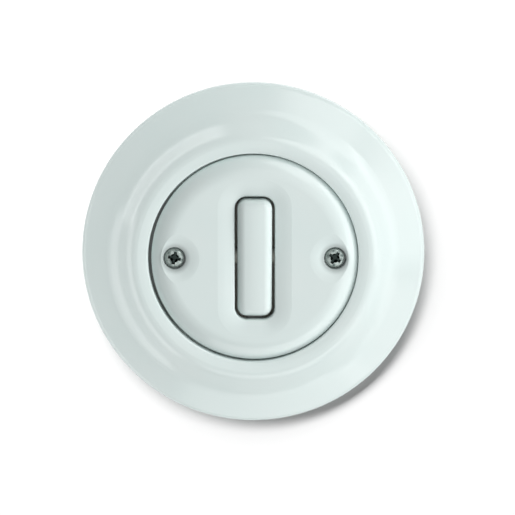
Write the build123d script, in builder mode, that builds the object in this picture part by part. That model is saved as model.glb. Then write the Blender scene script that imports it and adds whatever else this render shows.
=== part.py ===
from build123d import *
import os
from math import atan2, cos, radians, sin, tan

# Round flush-mounted pushbutton switch with a porcelain cover.
# All sizes are millimetres. The wall is the plane y = 0, the room lies on its -Y side and +Z is up.
# A depth is measured out of the wall towards the room, so what sits in the wall box has negative depths.

os.makedirs("parts", exist_ok=True)

# Cover frame
frame_diameter = 100.0
frame_lean = 0.85
rim_rounding = 2.0
flange_width = 7.3
flange_depth = 6.0
flange_slope = 23.0
ogee_foot_pull = 5.0
ogee_crest_pull = 3.2
crest_diameter = 66.8
crest_depth = 12.2
lip_drop = 0.6
lip_rounding = 0.7
frame_wall = 3.0
roof_wall = 3.2
frame_foot = 3.6
bore_wall = 3.0
ledge_gap = 0.6
ledge_thickness = 3.0
hollow_rounding = 1.0

# Centre plate
plate_diameter = 59.8
plate_gap = 0.5
plate_seat = 7.0
plate_depth = 12.4
shoulder_width = 6.0
shoulder_drop = 2.3
shoulder_rounding = 0.6
dish_width = 6.0
dish_drop = 0.9
dish_lift = 0.03
slot_rounding = 0.6
dimple_gap = 0.35
dimple_flare = 5.0
dimple_drop = 0.8
dimple_rounding = 0.4
boss_wall = 0.5

# Plate screws and their bushes
screw_spacing = 46.4
screw_diameter = 3.0
screw_length = 11.5
screw_head_diameter = 5.7
screw_head_height = 1.9
screw_head_rounding = 0.9
screw_point = 0.5
screw_sink = 1.3
screw_hole_clearance = 0.25
recess_span = 3.2
recess_width = 0.85
recess_depth = 1.2
left_screw_turn = 12.0
right_screw_turn = 33.0
thread_clearance = 0.05
bush_diameter = 6.4
bush_spigot_diameter = 4.0
bush_collar_diameter = 5.0
bush_collar_height = 0.5
bush_gap = 0.4
bush_channel_gap = 0.2

# Support plate
support_width = 71.0
support_diameter = 82.0
support_thickness = 1.0
support_fold_length = 20.0
support_fold_height = 2.2
box_screw_spacing = 60.0
box_slot_width = 3.6
box_slot_length = 6.0

# Rocker key and the cradle under it
key_width = 10.0
key_length = 34.3
key_shift = 0.35
key_corner = 2.7
key_crown = 0.5
key_rounding = 2.5
key_wall = 1.6
key_roof = 2.2
key_gap_side = 0.8
key_gap_end = 0.85
key_proud = 0.8
rest_tilt = 4.0
pivot_depth = 6.0
pin_diameter = 2.0
pin_running = 0.03
hub_wall = 1.4
hub_side_gap = 0.3
hub_key_gap = 0.2
cradle_length = 26.0
cradle_top = 1.5
cradle_bottom = 1.2
cradle_key_gap = 0.1
post_length = 5.0
post_fit = 0.1
rib_thickness = 1.0
rib_gap = 0.4
nose_arm = 9.0
nose_diameter = 3.0
nose_drop = 1.0
nose_width = 4.0
stop_clearance = 0.05

# Bearing frame
bearing_width = 30.0
bearing_height = 43.0
bearing_corner = 4.0
ear_gap = 13.2
ear_thickness = 2.6
ear_wall = 1.2
ear_base = 9.0
ear_top_gap = 0.6
pin_seat = 0.01
trough_gap = 0.6
skirt_width = 22.0
skirt_height = 30.0
skirt_corner = 2.0
skirt_depth = 5.0
skirt_wall = 1.5
skirt_clearance = 0.2
sleeve_wall = 1.5
guide_thickness = 2.0

# Plunger, springs and moving contacts
plunger_diameter = 3.0
plunger_head_diameter = 5.2
plunger_head_height = 1.6
plunger_tail_diameter = 2.0
plunger_tail_end = 0.7
plunger_running = 0.05
nose_clearance = 0.05
return_spring_diameter = 4.8
return_spring_wire = 0.6
return_spring_turns = 4.0
spring_bore_gap = 0.6
spring_seat = 0.02
contact_spring_diameter = 2.6
contact_spring_wire = 0.3
contact_spring_turns = 4.0
contact_spring_height = 2.6
bridge_length = 17.0
bridge_width = 5.0
bridge_thickness = 0.8
bridge_corner = 1.25
bridge_hole_gap = 0.1
ring_diameter = 4.0
ring_thickness = 0.5
ring_gap = 0.03
contact_spacing = 13.0
contact_diameter = 3.2
contact_height = 0.8
contact_air_gap = 0.05
rivet_diameter = 1.6
rivet_tail_diameter = 2.2
rivet_tail_height = 0.3
rivet_fit = 0.02

# Housing, terminals and the rivets that hold the insert together
housing_width = 40.0
housing_height = 44.0
housing_corner = 6.0
housing_depth = 19.6
floor_depth = 14.3
floor_thickness = 1.7
partition_wall = 1.2
pocket_width = 5.8
pocket_length = 20.0
pocket_centre = 3.0
pocket_height = 9.6
strip_thickness = 0.8
strip_leg_length = 18.0
tongue_width = 5.0
tongue_reach = 4.6
tongue_gap = 0.2
cover_thickness = 2.4
cover_rounding = 1.0
wire_hole_diameter = 3.0
wire_hole_spacing = 10.0
wire_offset = 1.2
wire_funnel = 0.6
clamp_thickness = 0.4
clamp_length = 16.0
clamp_bend = 0.8
clamp_bend_angle = 150.0
clamp_top_gap = 1.0
clamp_bottom_gap = 0.8
clamp_tip_gap = 0.3
clamp_tip_depth = 12.3
lever_width = 1.2
lever_length = 3.0
lever_inset = 1.3
lever_reach = 2.4
lever_proud = 0.8
lever_shoulder = 0.5
lever_shoulder_height = 0.65
lever_shoulder_gap = 0.05
lever_gap = 0.2
tie_spacing = 37.0
tie_diameter = 2.8
tie_head_diameter = 5.0
tie_head_height = 0.9
tie_head_rounding = 0.5
tie_hole_gap = 0.1

# Places that follow from the sizes above
frame_radius = frame_diameter / 2
frame_x = -frame_lean * plate_gap
flange_radius = frame_radius - flange_width
crest_radius = crest_diameter / 2
plate_radius = plate_diameter / 2
bore_radius = plate_radius + plate_gap
screw_x = screw_spacing / 2
ledge_radius = screw_x + bush_diameter / 2 + ledge_gap
slope = radians(flange_slope)
slot_width = key_width + 2 * key_gap_side
slot_length = key_length + 2 * key_gap_end
slot_corner = key_corner + key_gap_side
head_top = plate_depth - screw_sink
head_seat = head_top - screw_head_height
dimple_radius = screw_head_diameter / 2 + dimple_gap
bush_front = plate_seat - bush_gap
screw_end = head_seat - screw_length
tilt = radians(rest_tilt)
hub_radius = pin_diameter / 2 + hub_wall
ear_radius = pin_diameter / 2 + ear_wall
plate_back = pivot_depth + ear_radius + ear_top_gap
key_top = plate_depth + key_proud - pivot_depth
key_bottom = cradle_top + cradle_key_gap
pocket_half_width = key_width / 2 - key_wall
pocket_top = key_top - key_roof
cradle_half_width = pocket_half_width - 2 * post_fit
stop_depth = pivot_depth - cradle_length / 2 * sin(tilt) - cradle_bottom * cos(tilt) - stop_clearance
nose_rest = pivot_depth + nose_arm * sin(tilt) - nose_drop * cos(tilt) - nose_diameter / 2
plunger_travel = 2 * nose_arm * sin(tilt)
plunger_front = nose_rest - nose_clearance
plunger_neck = plunger_front - plunger_head_height
skirt_end = -skirt_depth
guide_front = skirt_end + guide_thickness
spring_bore_radius = (return_spring_diameter + return_spring_wire) / 2 + spring_bore_gap
tongue_front = strip_thickness - floor_depth
fixed_contact_face = tongue_front + contact_height
bridge_contact_face = fixed_contact_face + contact_air_gap + plunger_travel
bridge_back = bridge_contact_face + contact_height
bridge_front = bridge_back + bridge_thickness
plunger_shoulder = bridge_front + contact_spring_height
ring_front = bridge_back - ring_gap
plunger_end = ring_front - ring_thickness - plunger_tail_end
cavity_width = skirt_width + 2 * skirt_clearance
cavity_height = skirt_height + 2 * skirt_clearance
cavity_corner = skirt_corner + skirt_clearance
housing_back = -housing_depth
cover_back = housing_back - cover_thickness
pocket_inner = cavity_width / 2 + partition_wall
pocket_outer = pocket_inner + pocket_width
leg_face = pocket_inner + strip_thickness
wire_x = leg_face + wire_offset
lever_x = leg_face + lever_inset + lever_width / 2
tie_hole_radius = tie_diameter / 2 + tie_hole_gap

# Working planes: the wall, sections across it, and the rocker's own planes, tilted as it rests
wall = Plane.XZ
section = Plane(origin=(0, 0, 0), x_dir=(1, 0, 0), z_dir=(0, 0, -1))
side = Plane(origin=(0, 0, 0), x_dir=(0, 0, 1), z_dir=(1, 0, 0))
pocket_section = Plane(origin=(0, 0, pocket_centre), x_dir=(1, 0, 0), z_dir=(0, 0, -1))
rocker = wall.offset(pivot_depth).rotated((rest_tilt, 0, 0))
rocker_side = Plane(origin=rocker.origin, x_dir=rocker.y_dir, z_dir=rocker.x_dir)
rocker_across = Plane(origin=rocker.origin, x_dir=rocker.x_dir, z_dir=-rocker.y_dir)

screw_places = [(-screw_x, 0), (screw_x, 0)]
screw_turns = [left_screw_turn, right_screw_turn]
tie_places = [(0, -tie_spacing / 2), (0, tie_spacing / 2)]
contact_places = [(-contact_spacing / 2, nose_arm), (contact_spacing / 2, nose_arm)]
plunger_place = (0, nose_arm)
key_centre = (0, key_shift)
hands = [("left", -1), ("right", 1)]


def write(piece, name):
    piece.part.label = name
    export_step(piece.part, f"parts/{name}.step")


# Cover frame: a ring with a rounded rim, a sloped flange and an ogee rise to its crest, hollow behind, with a
# ledge inside. It is loose round the plate and hangs to the left by a share of the gap
with BuildPart() as cover_frame:
    rim_corner = (frame_radius, flange_depth - flange_width * tan(slope))
    knee = (flange_radius, flange_depth)
    crest = (crest_radius, crest_depth)
    foot_pull = (flange_radius - ogee_foot_pull * cos(slope), flange_depth + ogee_foot_pull * sin(slope))
    crest_pull = (crest_radius + ogee_crest_pull, crest_depth)
    lip = (bore_radius, crest_depth - lip_drop)
    ledge_back = plate_seat - ledge_thickness
    foot_radius = frame_radius - frame_foot
    rise = atan2(crest_depth - flange_depth, flange_radius - crest_radius)
    inner_knee = (flange_radius - frame_wall * sin(rise), flange_depth - frame_wall * cos(rise))
    roof = (bore_radius + bore_wall, crest_depth - roof_wall)
    frame_axis = Axis((frame_x, 0, 0), (0, 1, 0))
    with BuildSketch(Plane(origin=(frame_x, 0, 0), x_dir=section.x_dir, z_dir=section.z_dir)) as frame_profile:
        with BuildLine():
            Polyline((foot_radius, 0), (frame_radius, 0), rim_corner, knee)
            Bezier(knee, foot_pull, crest_pull, crest)
            TangentArc(crest, lip, tangent=(-1, 0))
            Polyline(
                lip,
                (bore_radius, plate_seat),
                (ledge_radius, plate_seat),
                (ledge_radius, ledge_back),
                (roof[0], ledge_back),
                roof,
                inner_knee,
                (foot_radius, rim_corner[1] - rim_rounding),
                (foot_radius, 0),
            )
        make_face()
        fillet(frame_profile.vertices().sort_by_distance(rim_corner)[0], rim_rounding)
        fillet(frame_profile.vertices().sort_by_distance(lip)[0], lip_rounding)
        fillet(frame_profile.vertices().sort_by_distance(roof)[0], hollow_rounding)
    revolve(axis=frame_axis)
write(cover_frame, "cover_frame")

# Centre plate: a disc with a soft shoulder, dished towards the slot, with a rounded dimple for each screw
with BuildPart() as centre_plate:
    shoulder_edge = (plate_radius, plate_depth - shoulder_drop)
    recess_radius = screw_x - dimple_radius - boss_wall
    dish_low = dish_drop - plate_depth
    small = dish_drop / 100
    with BuildSketch(section) as plate_profile:
        with BuildLine():
            face = Line((0, plate_depth), (plate_radius - shoulder_width, plate_depth))
            shoulder = TangentArc(face @ 1, shoulder_edge, tangent=(1, 0))
            Polyline(
                shoulder @ 1,
                (plate_radius, plate_seat),
                (recess_radius, plate_seat),
                (recess_radius, plate_back),
                (0, plate_back),
                (0, plate_depth),
            )
        make_face()
        fillet(plate_profile.vertices().sort_by_distance(shoulder_edge)[0], shoulder_rounding)
    revolve(axis=Axis.Y)
    with BuildSketch(wall.offset(plate_depth)) as slot_outline:
        RectangleRounded(slot_width, slot_length, slot_corner)
    extrude(amount=plate_seat - plate_depth, mode=Mode.SUBTRACT)
    rim = slot_outline.sketch.face().outer_wire()
    outward = (rim % 0).cross(wall.z_dir)
    with BuildSketch(Plane(origin=rim @ 0, x_dir=outward, z_dir=outward.cross(wall.z_dir))):
        with BuildLine():
            hollow = TangentArc((dish_width, dish_lift), (0, -dish_drop), tangent=(-1, 0))
            Polyline(hollow @ 1, (0, dish_drop), (dish_width, dish_drop), hollow @ 0)
        make_face()
    sweep(path=rim, mode=Mode.SUBTRACT)
    dish_edges = centre_plate.edges().filter_by_position(Axis.Y, dish_low - small, dish_low + small)
    fillet(dish_edges, slot_rounding)
    dimple_mouth = (dimple_radius, plate_depth - dimple_drop)
    dimple_top = plate_depth + dish_lift
    for x, z in screw_places:
        with BuildSketch(Plane(origin=(x, 0, z), x_dir=section.x_dir, z_dir=section.z_dir)) as dimple:
            with BuildLine():
                flare = TangentArc((dimple_radius + dimple_flare, dimple_top), dimple_mouth, tangent=(-1, 0))
                Polyline(flare @ 1, (dimple_radius, head_seat), (0, head_seat), (0, dimple_top), flare @ 0)
            make_face()
            fillet(dimple.vertices().sort_by_distance(dimple_mouth)[0], dimple_rounding)
        revolve(axis=Axis((x, 0, z), (0, 1, 0)), mode=Mode.SUBTRACT)
    with BuildSketch(wall.offset(head_seat)):
        with Locations(*screw_places):
            Circle(screw_diameter / 2 + screw_hole_clearance)
    extrude(amount=plate_seat - head_seat, mode=Mode.SUBTRACT)
write(centre_plate, "centre_plate")

# Plate screws: rounded cheese heads with a cross recess, seated in the dimples
with BuildPart() as plate_screws:
    with BuildSketch(wall.offset(head_seat)):
        with Locations(*screw_places):
            Circle(screw_head_diameter / 2)
    extrude(amount=screw_head_height)
    fillet(plate_screws.faces().filter_by(Axis.Y).group_by(Axis.Y)[0].edges(), screw_head_rounding)
    with BuildSketch(wall.offset(head_seat)):
        with Locations(*screw_places):
            Circle(screw_diameter / 2)
    extrude(amount=-screw_length)
    chamfer(plate_screws.faces().filter_by(Axis.Y).group_by(Axis.Y)[-1].edges(), screw_point)
    with BuildSketch(wall.offset(head_top)):
        for place, turn in zip(screw_places, screw_turns):
            with Locations(place):
                Rectangle(recess_span, recess_width, rotation=turn)
                Rectangle(recess_width, recess_span, rotation=turn)
    extrude(amount=-recess_depth, mode=Mode.SUBTRACT)
write(plate_screws, "plate_screws")

# Support plate: pressed steel with folded edges, slots for the box screws and an opening for the insert
with BuildPart() as support_plate:
    with BuildSketch(wall):
        Circle(support_diameter / 2)
        Rectangle(support_width, support_width, mode=Mode.INTERSECT)
        RectangleRounded(cavity_width, cavity_height, cavity_corner, mode=Mode.SUBTRACT)
        with PolarLocations(box_screw_spacing / 2, 4):
            SlotOverall(box_slot_length, box_slot_width, mode=Mode.SUBTRACT)
        with Locations(*screw_places):
            Circle(bush_spigot_diameter / 2 + rivet_fit, mode=Mode.SUBTRACT)
        with Locations(*tie_places):
            Circle(tie_hole_radius, mode=Mode.SUBTRACT)
    extrude(amount=support_thickness)
    with BuildSketch(wall.offset(support_thickness)):
        with PolarLocations((support_width - support_thickness) / 2, 4):
            Rectangle(support_thickness, support_fold_length)
    extrude(amount=support_fold_height)
write(support_plate, "support_plate")

# Threaded bushes: turned brass, riveted into the support plate, one behind each plate screw
with BuildPart() as threaded_bushes:
    with BuildSketch(wall.offset(support_thickness)):
        with Locations(*screw_places):
            Circle(bush_diameter / 2)
    extrude(amount=bush_front - support_thickness)
    with BuildSketch(wall.offset(support_thickness)):
        with Locations(*screw_places):
            Circle(bush_spigot_diameter / 2)
    extrude(amount=-support_thickness)
    with BuildSketch(wall):
        with Locations(*screw_places):
            Circle(bush_collar_diameter / 2)
    extrude(amount=-bush_collar_height)
    with BuildSketch(wall.offset(bush_front)):
        with Locations(*screw_places):
            Circle(screw_diameter / 2 + thread_clearance)
    extrude(amount=-bush_front - bush_collar_height, mode=Mode.SUBTRACT)
write(threaded_bushes, "threaded_bushes")

# Bearing frame: a flange on the support plate with the rocker's stops and ears, and a skirt with the guide
with BuildPart() as bearing_frame:
    skirt_length = support_thickness + skirt_depth
    with BuildSketch(wall.offset(support_thickness)):
        RectangleRounded(bearing_width, bearing_height, bearing_corner)
    extrude(amount=stop_depth - support_thickness)
    with BuildSketch(wall.offset(support_thickness)):
        RectangleRounded(skirt_width, skirt_height, skirt_corner)
        Rectangle(skirt_width - 2 * skirt_wall, skirt_height - 2 * skirt_wall, mode=Mode.SUBTRACT)
        with Locations(plunger_place):
            Circle(spring_bore_radius + sleeve_wall)
    extrude(amount=-skirt_length)
    with BuildSketch(wall.offset(stop_depth)):
        with Locations(plunger_place):
            Circle(spring_bore_radius)
    extrude(amount=guide_front - stop_depth, mode=Mode.SUBTRACT)
    with BuildSketch(wall.offset(guide_front)):
        with Locations(plunger_place):
            Circle(plunger_diameter / 2 + plunger_running)
    extrude(amount=-guide_thickness, mode=Mode.SUBTRACT)
    for name, hand in hands:
        with BuildSketch(side.offset(hand * ear_gap / 2)) as ear:
            with Locations((0, pivot_depth)):
                Circle(ear_radius)
            with Locations((0, support_thickness)):
                Rectangle(ear_base, stop_depth - support_thickness, align=(Align.CENTER, Align.MIN))
            make_hull()
        extrude(amount=hand * ear_thickness)
    with BuildSketch(side):
        with Locations((0, pivot_depth)):
            Circle(hub_radius + trough_gap)
    extrude(amount=ear_gap / 2, both=True, mode=Mode.SUBTRACT)
    with BuildSketch(side):
        with Locations((0, pivot_depth)):
            Circle(pin_diameter / 2 + pin_seat)
    extrude(amount=ear_gap / 2 + ear_thickness, both=True, mode=Mode.SUBTRACT)
    with BuildSketch(wall.offset(stop_depth)):
        with Locations(*tie_places):
            Circle(tie_hole_radius)
    extrude(amount=support_thickness - stop_depth, mode=Mode.SUBTRACT)
write(bearing_frame, "bearing_frame")

# Pivot pin: a plain steel pin through both ears
with BuildPart() as pivot_pin:
    with BuildSketch(side):
        with Locations((0, pivot_depth)):
            Circle(pin_diameter / 2)
    extrude(amount=ear_gap / 2 + ear_thickness, both=True)
write(pivot_pin, "pivot_pin")

# Rocker key: a long crowned key, hollow behind, with ribs that locate the cradle's posts. It sits a little
# high on the cradle, so that it looks centred in the slot when it is tilted at rest.
with BuildPart() as rocker_key:
    with BuildSketch(rocker.offset(key_bottom)):
        with Locations(key_centre):
            RectangleRounded(key_width, key_length, key_corner)
    extrude(amount=key_top - key_bottom)
    with BuildSketch(rocker_across):
        with BuildLine():
            crown = ThreePointArc(
                (-key_width / 2, key_top - key_crown),
                (0, key_top),
                (key_width / 2, key_top - key_crown),
            )
            Polyline(crown @ 1, (key_width / 2, key_bottom), (-key_width / 2, key_bottom), crown @ 0)
        make_face()
    extrude(amount=key_length, both=True, mode=Mode.INTERSECT)
    fillet(rocker_key.faces().sort_by(Axis(rocker.origin, rocker.z_dir))[-1].edges(), key_rounding)
    with BuildSketch(rocker.offset(key_bottom)):
        with Locations(key_centre):
            Rectangle(2 * pocket_half_width, key_length - 2 * key_wall)
    extrude(amount=pocket_top - key_bottom, mode=Mode.SUBTRACT)
    rib_place = post_length / 2 + post_fit + rib_thickness / 2
    with BuildSketch(rocker.offset(key_bottom + rib_gap)):
        for post in (-nose_arm, nose_arm):
            with Locations((0, post - rib_place), (0, post + rib_place)):
                Rectangle(2 * pocket_half_width, rib_thickness)
    extrude(amount=pocket_top - key_bottom - rib_gap)
    with BuildSketch(rocker_side):
        Circle(hub_radius + hub_key_gap)
    extrude(amount=key_width / 2, both=True, mode=Mode.SUBTRACT)
write(rocker_key, "rocker_key")

# Rocker cradle: the lever that carries the key on its posts, turns on the pin and presses the plunger
with BuildPart() as rocker_cradle:
    with BuildSketch(rocker_side):
        with Locations((0, -cradle_bottom)):
            Rectangle(cradle_length, cradle_top + cradle_bottom, align=(Align.CENTER, Align.MIN))
    extrude(amount=cradle_half_width, both=True)
    with BuildSketch(rocker_side):
        with Locations((-nose_arm, 0), (nose_arm, 0)):
            Rectangle(post_length, pocket_top - post_fit, align=(Align.CENTER, Align.MIN))
    extrude(amount=pocket_half_width - post_fit, both=True)
    with BuildSketch(rocker_side):
        with Locations((nose_arm, -nose_drop)):
            Circle(nose_diameter / 2)
    extrude(amount=nose_width / 2, both=True)
    with BuildSketch(rocker_side):
        Circle(hub_radius)
    extrude(amount=ear_gap / 2 - hub_side_gap, both=True)
    with BuildSketch(rocker_side):
        Circle(pin_diameter / 2 + pin_running)
    extrude(amount=ear_gap / 2, both=True, mode=Mode.SUBTRACT)
write(rocker_cradle, "rocker_cradle")

# Plunger: a headed stem that steps down to a tail for the contact bridge
with BuildPart() as plunger:
    with BuildSketch(wall.offset(plunger_neck)):
        with Locations(plunger_place):
            Circle(plunger_head_diameter / 2)
    extrude(amount=plunger_head_height)
    with BuildSketch(wall.offset(plunger_neck)):
        with Locations(plunger_place):
            Circle(plunger_diameter / 2)
    extrude(amount=plunger_shoulder - plunger_neck)
    with BuildSketch(wall.offset(plunger_shoulder)):
        with Locations(plunger_place):
            Circle(plunger_tail_diameter / 2)
    extrude(amount=plunger_end - plunger_shoulder)
write(plunger, "plunger")


# A helical compression spring about the plunger, between two depths
def coil_spring(back, front, diameter, wire, turns):
    length = front - back - wire - 2 * spring_seat
    start = back + wire / 2 + spring_seat
    with BuildPart() as spring:
        with BuildLine() as coil:
            Helix(length / turns, length, diameter / 2, center=(0, -start, nose_arm), direction=wall.z_dir)
        with BuildSketch(Plane(origin=coil.edge() @ 0, z_dir=coil.edge() % 0)):
            Circle(wire / 2)
        sweep(path=coil.edge(), is_frenet=True)
    return spring


return_spring = coil_spring(
    guide_front, plunger_neck, return_spring_diameter, return_spring_wire, return_spring_turns
)
write(return_spring, "return_spring")

contact_spring = coil_spring(
    bridge_front, plunger_shoulder, contact_spring_diameter, contact_spring_wire, contact_spring_turns
)
write(contact_spring, "contact_spring")

# Contact bridge: a strip on the plunger's tail, with a contact rivet at each end
with BuildPart() as contact_bridge:
    with BuildSketch(wall.offset(bridge_back)):
        with Locations(plunger_place):
            RectangleRounded(bridge_length, bridge_width, bridge_corner)
            Circle(plunger_tail_diameter / 2 + bridge_hole_gap, mode=Mode.SUBTRACT)
        with Locations(*contact_places):
            Circle(rivet_diameter / 2 + rivet_fit, mode=Mode.SUBTRACT)
    extrude(amount=bridge_thickness)
write(contact_bridge, "contact_bridge")


# Contact rivets: a head that makes the contact, a shank through the strip and a closed tail behind it
def contact_rivets(face, strip, hand):
    with BuildPart() as rivets:
        seat = face - hand * contact_height
        for depth, radius, height in (
            (face, contact_diameter / 2, contact_height),
            (seat, rivet_diameter / 2, strip),
            (seat - hand * strip, rivet_tail_diameter / 2, rivet_tail_height),
        ):
            with BuildSketch(wall.offset(depth)):
                with Locations(*contact_places):
                    Circle(radius)
            extrude(amount=-hand * height)
    return rivets


bridge_contacts = contact_rivets(bridge_contact_face, bridge_thickness, -1)
write(bridge_contacts, "bridge_contacts")
fixed_contacts = contact_rivets(fixed_contact_face, strip_thickness, 1)
write(fixed_contacts, "fixed_contacts")

# Retaining ring: holds the contact bridge on the plunger's tail
with BuildPart() as retaining_ring:
    with BuildSketch(wall.offset(ring_front)):
        with Locations(plunger_place):
            Circle(ring_diameter / 2)
            Circle(plunger_tail_diameter / 2 + rivet_fit, mode=Mode.SUBTRACT)
    extrude(amount=-ring_thickness)
write(retaining_ring, "retaining_ring")

# Housing: a moulded block with a cavity for the contacts in front and a terminal pocket on each side behind
with BuildPart() as housing:
    with BuildSketch(wall):
        RectangleRounded(housing_width, housing_height, housing_corner)
    extrude(amount=-housing_depth)
    with BuildSketch(wall):
        RectangleRounded(cavity_width, cavity_height, cavity_corner)
    extrude(amount=-floor_depth, mode=Mode.SUBTRACT)
    with BuildSketch(wall.offset(-floor_depth - floor_thickness)):
        Rectangle(cavity_width, cavity_height)
    extrude(amount=floor_depth + floor_thickness - housing_depth, mode=Mode.SUBTRACT)
    with BuildSketch(wall.offset(housing_back)):
        for name, hand in hands:
            with Locations((hand * (pocket_inner + pocket_outer) / 2, pocket_centre)):
                Rectangle(pocket_width, pocket_length)
    extrude(amount=pocket_height, mode=Mode.SUBTRACT)
    with BuildSketch(wall.offset(housing_back)):
        for name, hand in hands:
            with Locations((hand * (tongue_reach - tongue_gap + pocket_inner) / 2, nose_arm)):
                Rectangle(pocket_inner - tongue_reach + tongue_gap, tongue_width + 2 * tongue_gap)
    extrude(amount=tongue_front - housing_back, mode=Mode.SUBTRACT)
    with BuildSketch(wall):
        with Locations(*tie_places):
            Circle(tie_hole_radius)
    extrude(amount=-housing_depth, mode=Mode.SUBTRACT)
    with BuildSketch(wall):
        with Locations(*screw_places):
            Circle(bush_collar_diameter / 2 + bush_channel_gap)
    extrude(amount=screw_end - bush_channel_gap, mode=Mode.SUBTRACT)
write(housing, "housing")

# Terminal cover: the back wall, with funnelled wire entries and a window for each release lever
with BuildPart() as terminal_cover:
    with BuildSketch(wall.offset(housing_back)):
        RectangleRounded(housing_width, housing_height, housing_corner)
        for name, hand in hands:
            with Locations((hand * lever_x, pocket_centre)):
                Rectangle(lever_width + 2 * lever_gap, lever_length + 2 * lever_gap, mode=Mode.SUBTRACT)
        with Locations(*tie_places):
            Circle(tie_hole_radius, mode=Mode.SUBTRACT)
    extrude(amount=-cover_thickness)
    fillet(terminal_cover.faces().sort_by(Axis.Y)[-1].outer_wire().edges(), cover_rounding)
    with BuildSketch(wall.offset(housing_back)):
        with Locations((0, pocket_centre)):
            with GridLocations(2 * wire_x, wire_hole_spacing, 2, 2):
                Circle(wire_hole_diameter / 2)
    extrude(amount=-cover_thickness, mode=Mode.SUBTRACT)
    hole_edges = terminal_cover.faces().sort_by(Axis.Y)[-1].edges().filter_by(GeomType.CIRCLE)
    wire_mouths = hole_edges.filter_by(lambda edge: abs(edge.arc_center.X) > wire_hole_diameter)
    wire_mouths = wire_mouths.filter_by(lambda edge: abs(edge.arc_center.X) < pocket_outer)
    chamfer(wire_mouths, wire_funnel)
write(terminal_cover, "terminal_cover")

# Tie rivets: hold bearing frame, support plate, housing and terminal cover together
with BuildPart() as tie_rivets:
    for depth, height in ((stop_depth, tie_head_height), (cover_back, -tie_head_height)):
        with BuildSketch(wall.offset(depth)):
            with Locations(*tie_places):
                Circle(tie_head_diameter / 2)
        extrude(amount=height)
    outer_faces = tie_rivets.faces().filter_by(Axis.Y).group_by(Axis.Y)
    fillet(outer_faces[0].edges() + outer_faces[-1].edges(), tie_head_rounding)
    with BuildSketch(wall.offset(stop_depth)):
        with Locations(*tie_places):
            Circle(tie_diameter / 2)
    extrude(amount=cover_back - stop_depth)
write(tie_rivets, "tie_rivets")

# Terminals, one on each side: a contact strip, a clamp spring and a release lever
for name, hand in hands:
    # Contact strip: a tongue under the bridge and a leg down the pocket's wall, which the wires lie against
    with BuildPart() as contact_strip:
        with BuildSketch(wall.offset(tongue_front)):
            with Locations((hand * (tongue_reach + leg_face) / 2, nose_arm)):
                Rectangle(leg_face - tongue_reach, tongue_width)
            with Locations((hand * contact_spacing / 2, nose_arm)):
                Circle(rivet_diameter / 2 + rivet_fit, mode=Mode.SUBTRACT)
        extrude(amount=-strip_thickness)
        with BuildSketch(wall.offset(tongue_front)):
            with Locations((hand * (pocket_inner + strip_thickness / 2), pocket_centre)):
                Rectangle(strip_thickness, strip_leg_length)
        extrude(amount=housing_back - tongue_front)
    write(contact_strip, f"contact_strip_{name}")

    # Clamp spring: a bent leaf against the pocket's outer wall, whose free end presses the wires
    with BuildPart() as clamp_spring:
        base_x = pocket_outer - clamp_thickness / 2
        tip_x = leg_face + clamp_tip_gap + clamp_thickness / 2
        pocket_front = housing_back + pocket_height
        bend_place = housing_back + clamp_bottom_gap + clamp_bend + clamp_thickness / 2
        with BuildSketch(pocket_section):
            with BuildLine():
                base = Line((hand * base_x, pocket_front - clamp_top_gap), (hand * base_x, bend_place))
                bend = JernArc(base @ 1, (0, -1), clamp_bend, -hand * clamp_bend_angle)
                Line(bend @ 1, (hand * tip_x, -clamp_tip_depth))
            trace(line_width=clamp_thickness)
        extrude(amount=clamp_length / 2, both=True)
    write(clamp_spring, f"clamp_spring_{name}")

    # Release lever: a slider through the terminal cover that lifts the leaf off the wires
    with BuildPart() as release_lever:
        with BuildSketch(wall.offset(cover_back - lever_proud)):
            with Locations((hand * lever_x, pocket_centre)):
                Rectangle(lever_width, lever_length)
        extrude(amount=lever_proud + cover_thickness + lever_reach)
        with BuildSketch(wall.offset(housing_back + lever_shoulder_gap)):
            with Locations((hand * lever_x, pocket_centre)):
                Rectangle(lever_width + 2 * lever_shoulder, lever_length + 2 * lever_shoulder)
        extrude(amount=lever_shoulder_height)
    write(release_lever, f"release_lever_{name}")
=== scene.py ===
import math

import bmesh
import bpy
from mathutils import Matrix, Vector


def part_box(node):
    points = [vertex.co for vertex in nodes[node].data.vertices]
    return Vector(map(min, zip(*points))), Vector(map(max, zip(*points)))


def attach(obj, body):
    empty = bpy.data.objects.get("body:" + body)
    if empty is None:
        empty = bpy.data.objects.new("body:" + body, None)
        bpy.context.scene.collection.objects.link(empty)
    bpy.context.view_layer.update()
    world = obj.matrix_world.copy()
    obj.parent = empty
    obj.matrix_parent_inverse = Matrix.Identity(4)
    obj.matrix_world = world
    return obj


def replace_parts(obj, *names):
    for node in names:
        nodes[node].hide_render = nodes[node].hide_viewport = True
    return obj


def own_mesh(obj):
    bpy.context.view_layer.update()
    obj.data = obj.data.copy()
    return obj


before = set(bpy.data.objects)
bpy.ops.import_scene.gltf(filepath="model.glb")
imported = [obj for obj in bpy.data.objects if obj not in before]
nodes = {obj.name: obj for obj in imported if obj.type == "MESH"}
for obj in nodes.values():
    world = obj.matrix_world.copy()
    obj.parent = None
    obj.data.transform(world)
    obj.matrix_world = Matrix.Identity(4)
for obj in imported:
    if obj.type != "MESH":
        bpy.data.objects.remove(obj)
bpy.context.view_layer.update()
scene = bpy.context.scene
scene.view_settings.view_transform = "Standard"
mm = 0.001


# small helpers for node trees
def addNode(tree, kind, settings=None, values=None):
    node = tree.nodes.new(kind)
    for key, value in (settings or {}).items():
        setattr(node, key, value)
    for key, value in (values or {}).items():
        node.inputs[key].default_value = value
    return node


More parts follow.
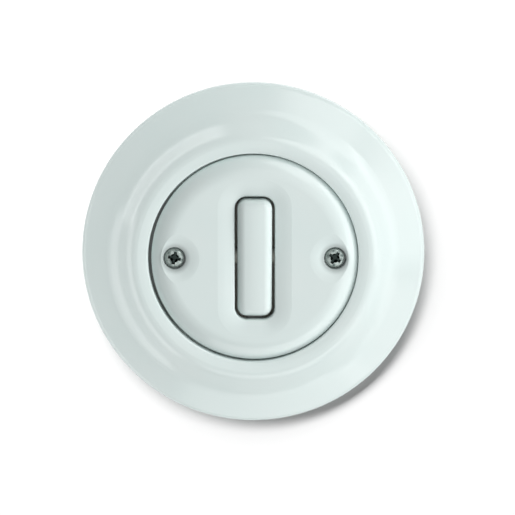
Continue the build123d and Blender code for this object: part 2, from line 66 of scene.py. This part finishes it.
def startGroup(name, inputs, outputs):
    tree = bpy.data.node_groups.new(name, "ShaderNodeTree")
    for label, kind, value in inputs:
        socket = tree.interface.new_socket(name=label, in_out="INPUT", socket_type=kind)
        if value is not None:
            socket.default_value = value
    for label, kind in outputs:
        tree.interface.new_socket(name=label, in_out="OUTPUT", socket_type=kind)
    return tree, addNode(tree, "NodeGroupInput"), addNode(tree, "NodeGroupOutput")


def bareMaterial(name):
    material = bpy.data.materials.new(name)
    material.use_nodes = True
    material.node_tree.nodes.clear()
    return material, material.node_tree, addNode(material.node_tree, "ShaderNodeOutputMaterial")


def startMaterial(name, values):
    material, tree, output = bareMaterial(name)
    shader = addNode(tree, "ShaderNodeBsdfPrincipled", values=values)
    tree.links.new(shader.outputs["BSDF"], output.inputs["Surface"])
    place = addNode(tree, "ShaderNodeTexCoord")
    return material, tree, shader, place.outputs["Object"]


def placeGroup(tree, group, position, values):
    node = addNode(tree, "ShaderNodeGroup", {"node_tree": group}, values)
    tree.links.new(position, node.inputs["Position"])
    return node


def splitAxes(tree, position):
    split = addNode(tree, "ShaderNodeSeparateXYZ")
    tree.links.new(position, split.inputs[0])
    return split.outputs


def mixColours(tree, mask, first, second):
    mix = addNode(tree, "ShaderNodeMix", {"data_type": "RGBA"})
    for socket, value in ((mix.inputs[6], first), (mix.inputs[7], second)):
        if isinstance(value, tuple):
            socket.default_value = (*value, 1)
        else:
            tree.links.new(value, socket)
    tree.links.new(mask, mix.inputs[0])
    return mix.outputs[2]


def softStep(tree, value, start, end, top=1.0):
    step = addNode(tree, "ShaderNodeMapRange", {"interpolation_type": "SMOOTHSTEP"}, {
        "From Min": start, "From Max": end, "To Max": top})
    tree.links.new(value, step.inputs["Value"])
    return step.outputs[0]


def joinMasks(tree, operation, first, second):
    join = addNode(tree, "ShaderNodeMath", {"operation": operation})
    tree.links.new(first, join.inputs[0])
    tree.links.new(second, join.inputs[1])
    return join.outputs[0]


def spreadRough(tree, shader, value, rough):
    satin = addNode(tree, "ShaderNodeMapRange", values={"To Min": rough[0], "To Max": rough[1]})
    tree.links.new(value, satin.inputs["Value"])
    tree.links.new(satin.outputs[0], shader.inputs["Roughness"])


def addBump(tree, shader, height, strength, depth):
    bump = addNode(tree, "ShaderNodeBump", values={"Strength": strength, "Distance": depth})
    tree.links.new(height, bump.inputs["Height"])
    tree.links.new(bump.outputs["Normal"], shader.inputs["Normal"])


# what the eye sees straight, in a mirror or through glass
def eyeRays(tree):
    rays = addNode(tree, "ShaderNodeLightPath").outputs
    seen = joinMasks(tree, "MAXIMUM", rays["Is Camera Ray"], rays["Is Glossy Ray"])
    return joinMasks(tree, "MAXIMUM", seen, rays["Is Transmission Ray"])


def dress(material, *names):
    for name in names:
        slots = nodes[name].data.materials
        slots.clear()
        slots.append(material)


def dressAll(finishes, make):
    for name, values in finishes.items():
        look = {key: value for key, value in values.items() if key != "nodes"}
        dress(make(name, **look), *values["nodes"])


# distance from an axis that runs front to back
def makeRadiusGroup():
    tree, ins, outs = startGroup(
        "axisRadius",
        [("Position", "NodeSocketVector", None), ("Centre", "NodeSocketVector", None)],
        [("Radius", "NodeSocketFloat")],
    )
    link = tree.links.new
    offset = addNode(tree, "ShaderNodeVectorMath", {"operation": "SUBTRACT"})
    link(ins.outputs["Position"], offset.inputs[0])
    link(ins.outputs["Centre"], offset.inputs[1])
    flat = addNode(tree, "ShaderNodeVectorMath", {"operation": "MULTIPLY"}, {1: (1.0, 0.0, 1.0)})
    link(offset.outputs[0], flat.inputs[0])
    length = addNode(tree, "ShaderNodeVectorMath", {"operation": "LENGTH"})
    link(flat.outputs[0], length.inputs[0])
    link(length.outputs["Value"], outs.inputs["Radius"])
    return tree


radiusGroup = makeRadiusGroup()
frameLow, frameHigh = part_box("cover_frame")
frameMiddle = (frameLow.x + frameHigh.x) / 2
screwLow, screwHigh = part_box("plate_screws")
screwHead = (screwHigh.z - screwLow.z) / 2
screwPlaces = [screwLow.x + screwHead, screwHigh.x - screwHead]


# distance from the nearer screw's axis
def screwRadius(tree, position):
    mirror = addNode(tree, "ShaderNodeVectorMath", {"operation": "ABSOLUTE"})
    tree.links.new(position, mirror.inputs[0])
    radius = placeGroup(tree, radiusGroup, mirror.outputs[0], {"Centre": (screwPlaces[1], 0, 0)})
    return radius.outputs["Radius"]


# fired glaze: slow waves, a fine orange peel and a faint cloud of tint
def makeGlazeGroup():
    tree, ins, outs = startGroup(
        "firedGlaze",
        [("Position", "NodeSocketVector", None), ("Wave Scale", "NodeSocketFloat", 70.0),
         ("Peel Scale", "NodeSocketFloat", 900.0), ("Peel Share", "NodeSocketFloat", 0.12)],
        [("Cloud", "NodeSocketFloat"), ("Height", "NodeSocketFloat"), ("Roughness", "NodeSocketFloat")],
    )
    link = tree.links.new
    wave = addNode(tree, "ShaderNodeTexNoise", values={"Detail": 1.0, "Roughness": 0.4})
    link(ins.outputs["Position"], wave.inputs["Vector"])
    link(ins.outputs["Wave Scale"], wave.inputs["Scale"])
    peel = addNode(tree, "ShaderNodeTexNoise", values={"Detail": 2.0, "Roughness": 0.5})
    link(ins.outputs["Position"], peel.inputs["Vector"])
    link(ins.outputs["Peel Scale"], peel.inputs["Scale"])
    height = addNode(tree, "ShaderNodeMath", {"operation": "MULTIPLY_ADD"})
    link(peel.outputs["Fac"], height.inputs[0])
    link(ins.outputs["Peel Share"], height.inputs[1])
    link(wave.outputs["Fac"], height.inputs[2])
    link(height.outputs[0], outs.inputs["Height"])
    cloud = addNode(tree, "ShaderNodeMapRange", values={"From Min": 0.3, "From Max": 0.7})
    link(wave.outputs["Fac"], cloud.inputs["Value"])
    link(cloud.outputs[0], outs.inputs["Cloud"])
    rough = addNode(tree, "ShaderNodeMapRange", values={"To Min": 0.14, "To Max": 0.22})
    link(peel.outputs["Fac"], rough.inputs["Value"])
    link(rough.outputs[0], outs.inputs["Roughness"])
    return tree


glazeGroup = makeGlazeGroup()

porcelain = {
    "thin": (0.70, 0.785, 0.77),      # glaze where it runs thin
    "thick": (0.68, 0.775, 0.76),     # and where it lies thicker, a little greener
    "frameTone": 0.915,               # the frame's glaze is a shade deeper than the plate's and the key's
    "bisque": (0.80, 0.79, 0.76),     # unglazed foot
    "bisqueRough": 0.6,
    "footHeight": 0.25 * mm,
    "paintedShade": (0.085, 0.105, 0.10),     # painted shade for the joint and round the screws
    "seatDepth": 7.0 * mm,            # ledge at the bottom of the joint
    "seatBand": 0.2 * mm,
    "jointWidth": 0.65 * mm,
    "jointFade": 0.1 * mm,
    "jointSide": (-17 * mm, -27 * mm),    # painted shade at the left only, where the gap is wide enough to take it
    "screwPaintedShade": (5.0 * mm, 3.0 * mm, 0.5),    # where the painted shade starts and is full round a screw, and its share
    "waveScale": 70.0,
    "peelScale": 900.0,
    "bump": 0.10,
    "bumpDepth": 0.12 * mm,
}


# painted shade on the ledge at the bottom of the joint, left side only
def jointPaintedShade(tree, position):
    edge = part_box("centre_plate")[1].x + porcelain["jointWidth"]
    radius = placeGroup(tree, radiusGroup, position, {"Centre": (frameMiddle, 0, 0)})
    axes = splitAxes(tree, position)
    ledge = addNode(tree, "ShaderNodeMath", {"operation": "COMPARE"}, {
        1: -porcelain["seatDepth"], 2: porcelain["seatBand"]})
    tree.links.new(axes["Y"], ledge.inputs[0])
    inside = softStep(tree, radius.outputs["Radius"], edge + porcelain["jointFade"], edge)
    left = softStep(tree, axes["X"], *porcelain["jointSide"])
    return joinMasks(tree, "MULTIPLY", joinMasks(tree, "MULTIPLY", ledge.outputs[0], inside), left)


# painted shade on the plate round the screw heads
def screwPaintedShade(tree, position):
    return softStep(tree, screwRadius(tree, position), *porcelain["screwPaintedShade"])


def makePorcelain(name, tone, paintedShade):
    thin, thick = (tuple(tone * part for part in porcelain[key]) for key in ("thin", "thick"))
    material, tree, shader, position = startMaterial(name, {"IOR": 1.5})
    glaze = placeGroup(tree, glazeGroup, position, {
        "Wave Scale": porcelain["waveScale"], "Peel Scale": porcelain["peelScale"]})
    clean = mixColours(tree, glaze.outputs["Cloud"], thin, thick)
    # glaze colour darkened with painted shade where the mask says
    tint = mixColours(tree, paintedShade(tree, position), clean, porcelain["paintedShade"])
    height = porcelain["footHeight"]
    foot = softStep(tree, splitAxes(tree, position)["Y"], -2 * height, -height)
    tree.links.new(mixColours(tree, foot, tint, porcelain["bisque"]), shader.inputs["Base Color"])
    rough = addNode(tree, "ShaderNodeMix", {"data_type": "FLOAT"}, {"B": porcelain["bisqueRough"]})
    tree.links.new(foot, rough.inputs["Factor"])
    tree.links.new(glaze.outputs["Roughness"], rough.inputs["A"])
    tree.links.new(rough.outputs[0], shader.inputs["Roughness"])
    addBump(tree, shader, glaze.outputs["Height"], porcelain["bump"], porcelain["bumpDepth"])
    return material


dress(makePorcelain("framePorcelain", porcelain["frameTone"], jointPaintedShade), "cover_frame")
dress(makePorcelain("platePorcelain", 1.0, screwPaintedShade), "centre_plate", "rocker_key")
print("porcelain dressed")


# rolled and drawn metal: fine lines along one way, a slow cloud of tarnish and cells of crystal spangle
def makeMetalGroup():
    tree, ins, outs = startGroup(
        "rolledMetal",
        [("Position", "NodeSocketVector", None), ("Line Scale", "NodeSocketFloat", 2500.0),
         ("Cloud Scale", "NodeSocketFloat", 160.0), ("Spangle Scale", "NodeSocketFloat", 320.0),
         ("Spangle Share", "NodeSocketFloat", 0.0)],
        [("Lines", "NodeSocketFloat"), ("Tarnish", "NodeSocketFloat")],
    )
    link = tree.links.new
    squeeze = addNode(tree, "ShaderNodeVectorMath", {"operation": "MULTIPLY"}, {1: (1.0, 1.0, 0.05)})
    link(ins.outputs["Position"], squeeze.inputs[0])
    lines = addNode(tree, "ShaderNodeTexNoise", values={"Detail": 2.0, "Roughness": 0.6})
    link(squeeze.outputs[0], lines.inputs["Vector"])
    link(ins.outputs["Line Scale"], lines.inputs["Scale"])
    link(lines.outputs["Fac"], outs.inputs["Lines"])
    cloud = addNode(tree, "ShaderNodeTexNoise", values={"Detail": 4.0, "Roughness": 0.6})
    link(ins.outputs["Position"], cloud.inputs["Vector"])
    link(ins.outputs["Cloud Scale"], cloud.inputs["Scale"])
    spread = addNode(tree, "ShaderNodeMapRange", values={"From Min": 0.32, "From Max": 0.68})
    link(cloud.outputs["Fac"], spread.inputs["Value"])
    cells = addNode(tree, "ShaderNodeTexVoronoi")
    link(ins.outputs["Position"], cells.inputs["Vector"])
    link(ins.outputs["Spangle Scale"], cells.inputs["Scale"])
    tone = addNode(tree, "ShaderNodeSeparateColor")
    link(cells.outputs["Color"], tone.inputs[0])
    blend = addNode(tree, "ShaderNodeMix", {"data_type": "FLOAT"})
    link(ins.outputs["Spangle Share"], blend.inputs["Factor"])
    link(spread.outputs[0], blend.inputs["A"])
    link(tone.outputs["Red"], blend.inputs["B"])
    link(blend.outputs[0], outs.inputs["Tarnish"])
    return tree


metalGroup = makeMetalGroup()

lineDepth = 0.05 * mm
metals = {
    "zincPlate": {
        "clean": (0.62, 0.63, 0.62), "dull": (0.44, 0.46, 0.47), "rough": (0.28, 0.46),
        "spangle": 0.55, "lines": 0.05, "nodes": ("support_plate",)},
    "drawnBrass": {
        "clean": (0.76, 0.58, 0.28), "dull": (0.52, 0.36, 0.16), "rough": (0.20, 0.38),
        "spangle": 0.0, "lines": 0.12,
        "nodes": ("threaded_bushes", "contact_bridge", "contact_strip_left", "contact_strip_right")},
    "springSteel": {
        "clean": (0.55, 0.55, 0.56), "dull": (0.38, 0.39, 0.42), "rough": (0.18, 0.34),
        "spangle": 0.0, "lines": 0.12,
        "nodes": ("pivot_pin", "return_spring", "contact_spring", "retaining_ring", "clamp_spring_left",
                  "clamp_spring_right")},
    "contactSilver": {
        "clean": (0.82, 0.81, 0.77), "dull": (0.58, 0.55, 0.48), "rough": (0.24, 0.42),
        "spangle": 0.0, "lines": 0.06, "nodes": ("bridge_contacts", "fixed_contacts")},
    "rivetSteel": {
        "clean": (0.60, 0.60, 0.59), "dull": (0.43, 0.44, 0.44), "rough": (0.26, 0.44),
        "spangle": 0.2, "lines": 0.08, "nodes": ("tie_rivets",)},
}


def makeMetal(name, clean, dull, rough, spangle, lines):
    material, tree, shader, position = startMaterial(name, {"Metallic": 1.0})
    metal = placeGroup(tree, metalGroup, position, {"Spangle Share": spangle})
    tarnish = metal.outputs["Tarnish"]
    tree.links.new(mixColours(tree, tarnish, clean, dull), shader.inputs["Base Color"])
    spreadRough(tree, shader, tarnish, rough)
    addBump(tree, shader, metal.outputs["Lines"], lines, lineDepth)
    return material


dressAll(metals, makeMetal)
print("metals dressed")


# moulded plastic: a fine eroded skin and slow marks of the flow
def makeMouldGroup():
    tree, ins, outs = startGroup(
        "mouldedSkin",
        [("Position", "NodeSocketVector", None), ("Grain Scale", "NodeSocketFloat", 2200.0),
         ("Flow Scale", "NodeSocketFloat", 60.0)],
        [("Grain", "NodeSocketFloat"), ("Flow", "NodeSocketFloat")],
    )
    link = tree.links.new
    grain = addNode(tree, "ShaderNodeTexNoise", values={"Detail": 3.0, "Roughness": 0.65})
    link(ins.outputs["Position"], grain.inputs["Vector"])
    link(ins.outputs["Grain Scale"], grain.inputs["Scale"])
    link(grain.outputs["Fac"], outs.inputs["Grain"])
    flow = addNode(tree, "ShaderNodeTexNoise", values={"Detail": 3.0, "Roughness": 0.5, "Distortion": 1.6})
    link(ins.outputs["Position"], flow.inputs["Vector"])
    link(ins.outputs["Flow Scale"], flow.inputs["Scale"])
    spread = addNode(tree, "ShaderNodeMapRange", values={"From Min": 0.3, "From Max": 0.7})
    link(flow.outputs["Fac"], spread.inputs["Value"])
    link(spread.outputs[0], outs.inputs["Flow"])
    return tree


mouldGroup = makeMouldGroup()

grainBump = 0.2
grainDepth = 0.05 * mm
mouldings = {
    "darkMoulding": {
        "body": (0.020, 0.020, 0.022), "streak": (0.034, 0.033, 0.034), "rough": (0.34, 0.52),
        "nodes": ("housing", "terminal_cover")},
    "paleMoulding": {
        "body": (0.66, 0.64, 0.58), "streak": (0.60, 0.58, 0.52), "rough": (0.36, 0.52),
        "nodes": ("bearing_frame", "rocker_cradle", "plunger")},
    "leverMoulding": {
        "body": (0.62, 0.16, 0.02), "streak": (0.54, 0.13, 0.016), "rough": (0.32, 0.48),
        "nodes": ("release_lever_left", "release_lever_right")},
}


def makeMoulding(name, body, streak, rough):
    material, tree, shader, position = startMaterial(name, {"IOR": 1.5})
    skin = placeGroup(tree, mouldGroup, position, {})
    tree.links.new(mixColours(tree, skin.outputs["Flow"], body, streak), shader.inputs["Base Color"])
    spreadRough(tree, shader, skin.outputs["Grain"], rough)
    addBump(tree, shader, skin.outputs["Grain"], grainBump, grainDepth)
    return material


dressAll(mouldings, makeMoulding)
print("mouldings dressed")

sharpAngle = math.radians(35)


def meshObject(name, bm):
    mesh = bpy.data.meshes.new(name)
    bm.to_mesh(mesh)
    bm.free()
    obj = bpy.data.objects.new(name, mesh)
    scene.collection.objects.link(obj)
    return obj


def smoothPiece(piece):
    piece.data.shade_smooth()
    piece.data.set_sharp_from_angle(angle=sharpAngle)


# plate screws: domed heads with a tapered cross recess, and a rolled thread on the shank
screw = {
    "radius": screwHead,
    "front": screwLow.y,
    "tip": screwHigh.y,
    "headHeight": 1.9 * mm,
    "rounding": 0.9 * mm,
    "roundSteps": 8,
    "dome": 0.12 * mm,
    "domeStep": 0.6,                  # where the dome's outline has a point, as a share of its radius
    "shank": 1.5 * mm,
    "core": 1.2 * mm,
    "point": 0.5 * mm,
    "plainShank": 1.2 * mm,
    "pitch": 0.5 * mm,
    "ridgeHalf": 0.45,                # half the ridge's width, as a share of the pitch
    "ridgeSunk": 0.05 * mm,
    "crossSpan": 3.9 * mm,
    "crossWidth": 1.05 * mm,
    "crossDepth": 1.3 * mm,
    "crossTaper": (0.8, 0.55),        # how far span and width shrink at the bottom
    "coneRadius": 1.3 * mm,
    "coneTaper": (1.15, 0.5),
    "coneSides": 24,
    "cutterAbove": 0.3 * mm,
    "cutterBelow": 0.1,               # the cone goes deeper than the bars by this share
    "turns": (12, 33),
    "steps": 48,
    "threadSteps": 24,
}


def screwOutline():
    top, edge = screw["front"], screw["radius"] - screw["rounding"]
    points = [(0, top), (edge * screw["domeStep"], top + screw["dome"] * screw["domeStep"] ** 2)]
    for step in range(screw["roundSteps"] + 1):
        a = math.pi / 2 * step / screw["roundSteps"]
        points.append((edge + screw["rounding"] * math.sin(a),
                       top + screw["dome"] + screw["rounding"] * (1 - math.cos(a))))
    seat = top + screw["headHeight"]
    points += [(screw["radius"], seat), (screw["core"], seat)]
    points += [(screw["core"], screw["tip"] - screw["point"]),
               (screw["core"] - screw["point"] / 2, screw["tip"]), (0, screw["tip"])]
    return points


def spinOutline(bm, points, steps):
    verts = [bm.verts.new((radius, y, 0)) for radius, y in points]
    edges = [bm.edges.new(pair) for pair in zip(verts, verts[1:])]
    bmesh.ops.spin(bm, geom=verts + edges, cent=(0, 0, 0), axis=(0, 1, 0), angle=math.tau, steps=steps,
                   use_merge=True)
    bmesh.ops.remove_doubles(bm, verts=bm.verts, dist=1e-7)
    bmesh.ops.recalc_face_normals(bm, faces=bm.faces)


def turnVerts(bm, verts, degrees, axis):
    matrix = Matrix.Rotation(math.radians(degrees), 3, axis)
    bmesh.ops.rotate(bm, cent=(0, 0, 0), matrix=matrix, verts=verts)


# two tapered bars across a cone, to cut the recess with
def addRecess(bm, turn):
    deep = screw["cutterAbove"] + screw["crossDepth"]
    middle = screw["front"] - screw["cutterAbove"] + deep / 2
    made = []
    for across in (0, 90):
        bar = bmesh.ops.create_cube(bm, size=1)["verts"]
        for vert in bar:
            spanTaper, widthTaper = screw["crossTaper"] if vert.co.y > 0 else (1.0, 1.0)
            vert.co.x *= screw["crossSpan"] * spanTaper
            vert.co.z *= screw["crossWidth"] * widthTaper
            vert.co.y = middle + vert.co.y * deep
        turnVerts(bm, bar, across, "Y")
        made += bar
    front, back = (screw["coneRadius"] * taper for taper in screw["coneTaper"])
    cone = bmesh.ops.create_cone(bm, cap_ends=True, segments=screw["coneSides"], radius1=front, radius2=back,
                                 depth=deep * (1 + screw["cutterBelow"]))["verts"]
    turnVerts(bm, cone, -90, "X")
    bmesh.ops.translate(bm, vec=(0, middle + deep * screw["cutterBelow"] / 2, 0), verts=cone)
    made += cone
    turnVerts(bm, made, turn, "Y")


def addThread(bm):
    start = screw["front"] + screw["headHeight"] + screw["plainShank"]
    turns = int((screw["tip"] - screw["point"] - start) / screw["pitch"])
    root = screw["core"] - screw["ridgeSunk"]
    half = screw["pitch"] * screw["ridgeHalf"]
    profile = [(root, start - half), (screw["shank"], start), (root, start + half)]
    verts = [bm.verts.new((radius, y, 0)) for radius, y in profile]
    edges = [bm.edges.new((verts[i], verts[i - 1])) for i in range(3)]
    bmesh.ops.spin(bm, geom=verts + edges, cent=(0, 0, 0), axis=(0, 1, 0), angle=math.tau * turns,
                   dvec=(0, screw["pitch"] / screw["threadSteps"], 0), steps=turns * screw["threadSteps"])
    bmesh.ops.holes_fill(bm, edges=[edge for edge in bm.edges if edge.is_boundary], sides=3)
    bmesh.ops.recalc_face_normals(bm, faces=bm.faces)


def makeScrew(name, place, turn):
    bm = bmesh.new()
    spinOutline(bm, screwOutline(), screw["steps"])
    piece = meshObject(name, bm)
    bm = bmesh.new()
    addRecess(bm, turn)
    cutter = meshObject("screwRecess", bm)
    cut = piece.modifiers.new("recess", "BOOLEAN")
    cut.solver = "EXACT"
    cut.use_self = True
    cut.object = cutter
    bpy.context.view_layer.objects.active = piece
    bpy.ops.object.modifier_apply(modifier=cut.name)
    bpy.data.objects.remove(cutter)
    bm = bmesh.new()
    bm.from_mesh(piece.data)
    addThread(bm)
    bmesh.ops.translate(bm, vec=(place, 0, 0), verts=bm.verts)
    bm.to_mesh(piece.data)
    bm.free()
    smoothPiece(piece)
    return piece


# worn plating, with painted shade in the recess and dust with a painted sheen at the rim
screwPlating = {
    "steel": (0.38, 0.43, 0.41),
    "dull": (0.07, 0.095, 0.09),
    # painted shade in the cross recess
    "recessShade": (0.022, 0.030, 0.028),
    # dust and, with it, a painted sheen for the rim of the head
    "dustAndSheen": (0.44, 0.51, 0.48),
    "rough": (0.20, 0.36),
    "cloudScale": 900.0,
    "recess": (1.95 * mm, 1.80 * mm),          # radius where the painted shade in the recess starts and is full
    "recessDepth": (0.10 * mm, 0.45 * mm),     # and the depths under the head's front
    "rim": (2.30 * mm, 2.60 * mm, 0.95),
    "bump": 0.35,
    "bumpDepth": 0.04 * mm,
}


def makeScrewPlating():
    material, tree, shader, position = startMaterial("screwPlating", {})
    link = tree.links.new
    metal = placeGroup(tree, metalGroup, position, {"Cloud Scale": screwPlating["cloudScale"]})
    tarnish = metal.outputs["Tarnish"]
    radius = screwRadius(tree, position)
    depths = [screw["front"] + depth for depth in screwPlating["recessDepth"]]
    deep = softStep(tree, splitAxes(tree, position)["Y"], *depths)
    # painted shade in the cross recess, by depth under the head's front and by radius
    recess = joinMasks(tree, "MULTIPLY", deep, softStep(tree, radius, *screwPlating["recess"]))
    # dust with a painted sheen on the head's rounded rim, where it is no longer metal
    rim = softStep(tree, radius, *screwPlating["rim"])
    steel = mixColours(tree, tarnish, screwPlating["steel"], screwPlating["dull"])
    used = mixColours(tree, recess, steel, screwPlating["recessShade"])
    link(mixColours(tree, rim, used, screwPlating["dustAndSheen"]), shader.inputs["Base Color"])
    bare = addNode(tree, "ShaderNodeMath", {"operation": "SUBTRACT"}, {0: 1.0})
    link(rim, bare.inputs[1])
    link(bare.outputs[0], shader.inputs["Metallic"])
    spreadRough(tree, shader, tarnish, screwPlating["rough"])
    addBump(tree, shader, tarnish, screwPlating["bump"], screwPlating["bumpDepth"])
    return material


plating = makeScrewPlating()
screws = []
for name, place, turn in zip(("plateScrewLeft", "plateScrewRight"), screwPlaces, screw["turns"]):
    piece = makeScrew(name, place, turn)
    piece.data.materials.append(plating)
    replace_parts(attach(piece, "base"), "plate_screws")
    screws.append(piece)
print("screws made,", [len(piece.data.polygons) for piece in screws], "faces")

# springs: copies of the CAD solids, merged and smooth-shaded, in their place; the held end of each
# is at the low (0) or the high (1) corner of its box
springs = {
    "returnSpring": {
        "node": "return_spring", "joint": "plunger_slide", "axis": (0, 1, 0), "held": 1, "keep": 0.765},
    "clampSpringLeft": {
        "node": "clamp_spring_left", "joint": "left_release", "axis": (1, 0, 0), "held": 0, "keep": 0.86},
    "clampSpringRight": {
        "node": "clamp_spring_right", "joint": "right_release", "axis": (1, 0, 0), "held": 1, "keep": 0.86},
}


def makeSpring(name, node, joint, axis, held, keep):
    solid = nodes[node].data
    bm = bmesh.new()
    bm.from_mesh(solid)
    bmesh.ops.remove_doubles(bm, verts=bm.verts, dist=1e-7)
    bmesh.ops.recalc_face_normals(bm, faces=bm.faces)
    piece = meshObject(name, bm)
    piece.data.materials.append(solid.materials[0])
    smoothPiece(piece)
    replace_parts(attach(piece, "base"), node)
    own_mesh(piece)
    return piece


springPieces = [makeSpring(name, **values) for name, values in springs.items()]
print("springs made,", [len(piece.data.polygons) for piece in springPieces], "faces")

# wall that the switch is fixed to, open behind it for the wall box: white to the eye, with the switch's
# shadow on it, and clear from behind
wall = {
    "overlap": 0.3 * mm,
    "setBack": 0.02 * mm,
    "reach": 1.2,
    "steps": 96,
    "colour": 0.65,
    "glow": 0.06,
}


def makeWallPaint():
    material, tree, output = bareMaterial("wallWhite")
    link = tree.links.new
    paint = addNode(tree, "ShaderNodeBsdfDiffuse", values={"Color": (wall["colour"],) * 3 + (1,)})
    level = addNode(tree, "ShaderNodeMath", {"operation": "MULTIPLY"}, {1: wall["glow"]})
    link(eyeRays(tree), level.inputs[0])
    glow = addNode(tree, "ShaderNodeEmission")
    link(level.outputs[0], glow.inputs["Strength"])
    lit = addNode(tree, "ShaderNodeAddShader")
    link(paint.outputs[0], lit.inputs[0])
    link(glow.outputs[0], lit.inputs[1])
    clear = addNode(tree, "ShaderNodeBsdfTransparent")
    sideSeen = addNode(tree, "ShaderNodeNewGeometry")
    choose = addNode(tree, "ShaderNodeMixShader")
    link(sideSeen.outputs["Backfacing"], choose.inputs[0])
    link(lit.outputs[0], choose.inputs[1])
    link(clear.outputs[0], choose.inputs[2])
    link(choose.outputs[0], output.inputs["Surface"])
    return material


def makeWall():
    bm = bmesh.new()
    opening = frameHigh.x - frameMiddle - wall["overlap"]
    ends = [bm.verts.new((radius, 0, 0)) for radius in (opening, wall["reach"])]
    edge = bm.edges.new(ends)
    bmesh.ops.spin(bm, geom=ends + [edge], cent=(0, 0, 0), axis=(0, 1, 0), angle=math.tau,
                   steps=wall["steps"], use_merge=True)
    for face in bm.faces:
        face.normal_update()
        if face.normal.y > 0:
            face.normal_flip()
    bmesh.ops.translate(bm, vec=(frameMiddle, wall["setBack"], 0), verts=bm.verts)
    plane = meshObject("wall", bm)
    plane.data.materials.append(makeWallPaint())
    return plane


wallPlane = makeWall()
print("wall placed, facing", tuple(round(v, 2) for v in wallPlane.data.polygons[0].normal))

# camera: square on from a little above, with the switch just left of the middle
camera = {
    "distance": 0.80,
    "turn": 0.0,
    "rise": 9.4,
    "viewWidth": 150.6 * mm,          # width of the picture at the rim
    "rimDepth": 0.9 * mm,
    "right": 0.80 * mm,
    "up": -1.47 * mm,
    "sensor": 36,
    "nearest": 0.01,
}


def makeCamera():
    t, e = math.radians(camera["turn"]), math.radians(camera["rise"])
    back = Vector((math.sin(t) * math.cos(e), -math.cos(t) * math.cos(e), math.sin(e)))
    right = Vector((math.cos(t), math.sin(t), 0))
    aim = Vector((0, -camera["rimDepth"], 0)) + right * camera["right"] + back.cross(right) * camera["up"]
    data = bpy.data.cameras.new("camera")
    data.sensor_width = camera["sensor"]
    data.lens = camera["sensor"] * camera["distance"] / camera["viewWidth"]
    data.clip_start = camera["nearest"]
    eye = bpy.data.objects.new("camera", data)
    eye.location = aim + back * camera["distance"]
    eye.rotation_euler = back.to_track_quat("Z", "Y").to_euler()
    scene.collection.objects.link(eye)
    scene.camera = eye


makeCamera()
print("camera placed")


# lamps: each is aimed at the switch from an angle to the right and an angle up
def addPanel(name, side, rise, distance, width, height, radiance, roll=0.0, mirrored=True):
    data = bpy.data.lights.new(name, "AREA")
    data.shape = "RECTANGLE"
    data.size = width
    data.size_y = height
    data.energy = radiance * math.pi * width * height
    lamp = bpy.data.objects.new(name, data)
    a, e = math.radians(side), math.radians(rise)
    away = Vector((math.sin(a) * math.cos(e), -math.cos(a) * math.cos(e), math.sin(e)))
    lamp.location = away * distance
    turn = away.to_track_quat("Z", "Y").to_matrix() @ Matrix.Rotation(math.radians(roll), 3, "Z")
    lamp.rotation_euler = turn.to_euler()
    lamp.visible_camera = False
    lamp.visible_glossy = mirrored
    scene.collection.objects.link(lamp)
    return lamp


def addPanels(table):
    return [addPanel(name, **values) for name, values in table.items()]


def linkOnly(lamps, keep, label):
    collection = bpy.data.collections.new(label)
    for obj in keep:
        collection.objects.link(obj)
    for lamp in lamps:
        lamp.light_linking.receiver_collection = collection


panels = {
    "keyPanel": {"side": 58, "rise": 10, "distance": 1.1, "width": 0.6, "height": 0.9, "radiance": 2.68},
    "keyUpper": {"side": 42, "rise": 42, "distance": 1.1, "width": 0.9, "height": 0.6, "radiance": 2.59},
    "keyLower": {"side": 50, "rise": -32, "distance": 1.1, "width": 0.7, "height": 0.6, "radiance": 1.5},
    "rightPanel": {"side": 79, "rise": 0, "distance": 1.2, "width": 0.36, "height": 1.6, "radiance": 1.07},
    "frontPanel": {"side": 16, "rise": 0, "distance": 1.2, "width": 1.0, "height": 1.2, "radiance": 0.71},
    "bottomPanel": {"side": 10, "rise": -58, "distance": 1.1, "width": 1.0, "height": 0.6, "radiance": 1.64},
    # not mirrored, because the bare metal at the back shows the white room already
    "backPanel": {"side": 162, "rise": 20, "distance": 1.1, "width": 1.0, "height": 1.0, "radiance": 2.4,
                  "mirrored": False},
}
# flagged off the plate and the key
edgePanels = {
    "lowerEdge": {"side": -72, "rise": -24, "distance": 1.2, "width": 0.5, "height": 1.6, "radiance": 2.13},
    "cornerEdge": {"side": -74, "rise": 39, "distance": 1.2, "width": 0.14, "height": 1.6, "radiance": 4.4,
                   "roll": -15},
}
# a long strip up and left, for the wall alone
wallPanels = {
    "wallStrip": {"side": -39, "rise": 39.5, "distance": 4.0, "width": 9.2, "height": 1.38, "radiance": 15.3,
                  "roll": 52},
}

linkOnly(addPanels(panels), list(nodes.values()) + screws + springPieces, "switchLit")
linkOnly(addPanels(edgePanels), [nodes["cover_frame"]], "frameLit")
linkOnly(addPanels(wallPanels), [wallPlane], "wallLit")

world = {"ambient": 0.207, "seen": 1.0}


def makeWorld():
    data = bpy.data.worlds.new("studio")
    data.use_nodes = True
    tree = data.node_tree
    tree.nodes.clear()
    link = tree.links.new
    output = addNode(tree, "ShaderNodeOutputWorld")
    sky = addNode(tree, "ShaderNodeBackground", values={"Color": (1, 1, 1, 1)})
    level = addNode(tree, "ShaderNodeMapRange", values={"To Min": world["ambient"], "To Max": world["seen"]})
    link(eyeRays(tree), level.inputs["Value"])
    link(level.outputs[0], sky.inputs["Strength"])
    link(sky.outputs[0], output.inputs["Surface"])
    scene.world = data


makeWorld()
print("lamps and world set")
